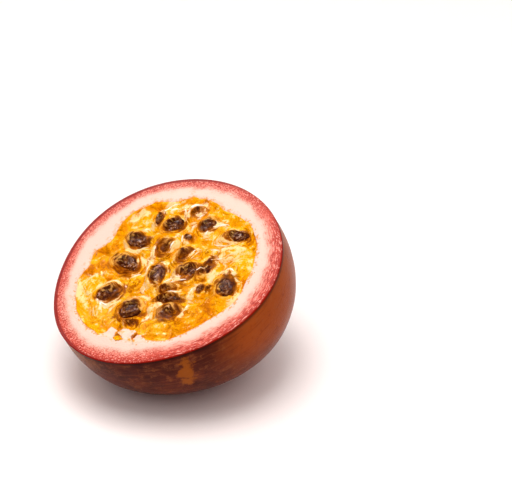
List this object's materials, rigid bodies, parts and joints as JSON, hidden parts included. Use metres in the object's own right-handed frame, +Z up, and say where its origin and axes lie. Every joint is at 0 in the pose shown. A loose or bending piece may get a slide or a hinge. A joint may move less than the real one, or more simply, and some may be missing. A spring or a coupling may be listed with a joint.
{
  "type": "passion fruit half",
  "caption": "Half of a ripe purple passion fruit, cut across: a thick rind with a pale pith ring round a wet heap of seed sacs, leaning on a small flat spot.",
  "frame": {"origin": "middle of the small flat spot that the half rests on", "axes": "+Z up as the half lies; the cut faces up and leans 22 degrees towards -X and -Y, and the camera of the picture looks along +Y"},
  "size_m": [0.0607, 0.0598, 0.041],
  "materials": {
    "rind": "smooth purple-brown fruit skin, slightly waxy, with matt red and white flesh at the cut",
    "pulp": "wet, translucent orange-yellow juice sacs round dark seeds"
  },
  "bodies": {
    "root": {"shell": "rind", "pulp": "pulp"}
  },
  "joints": []
}
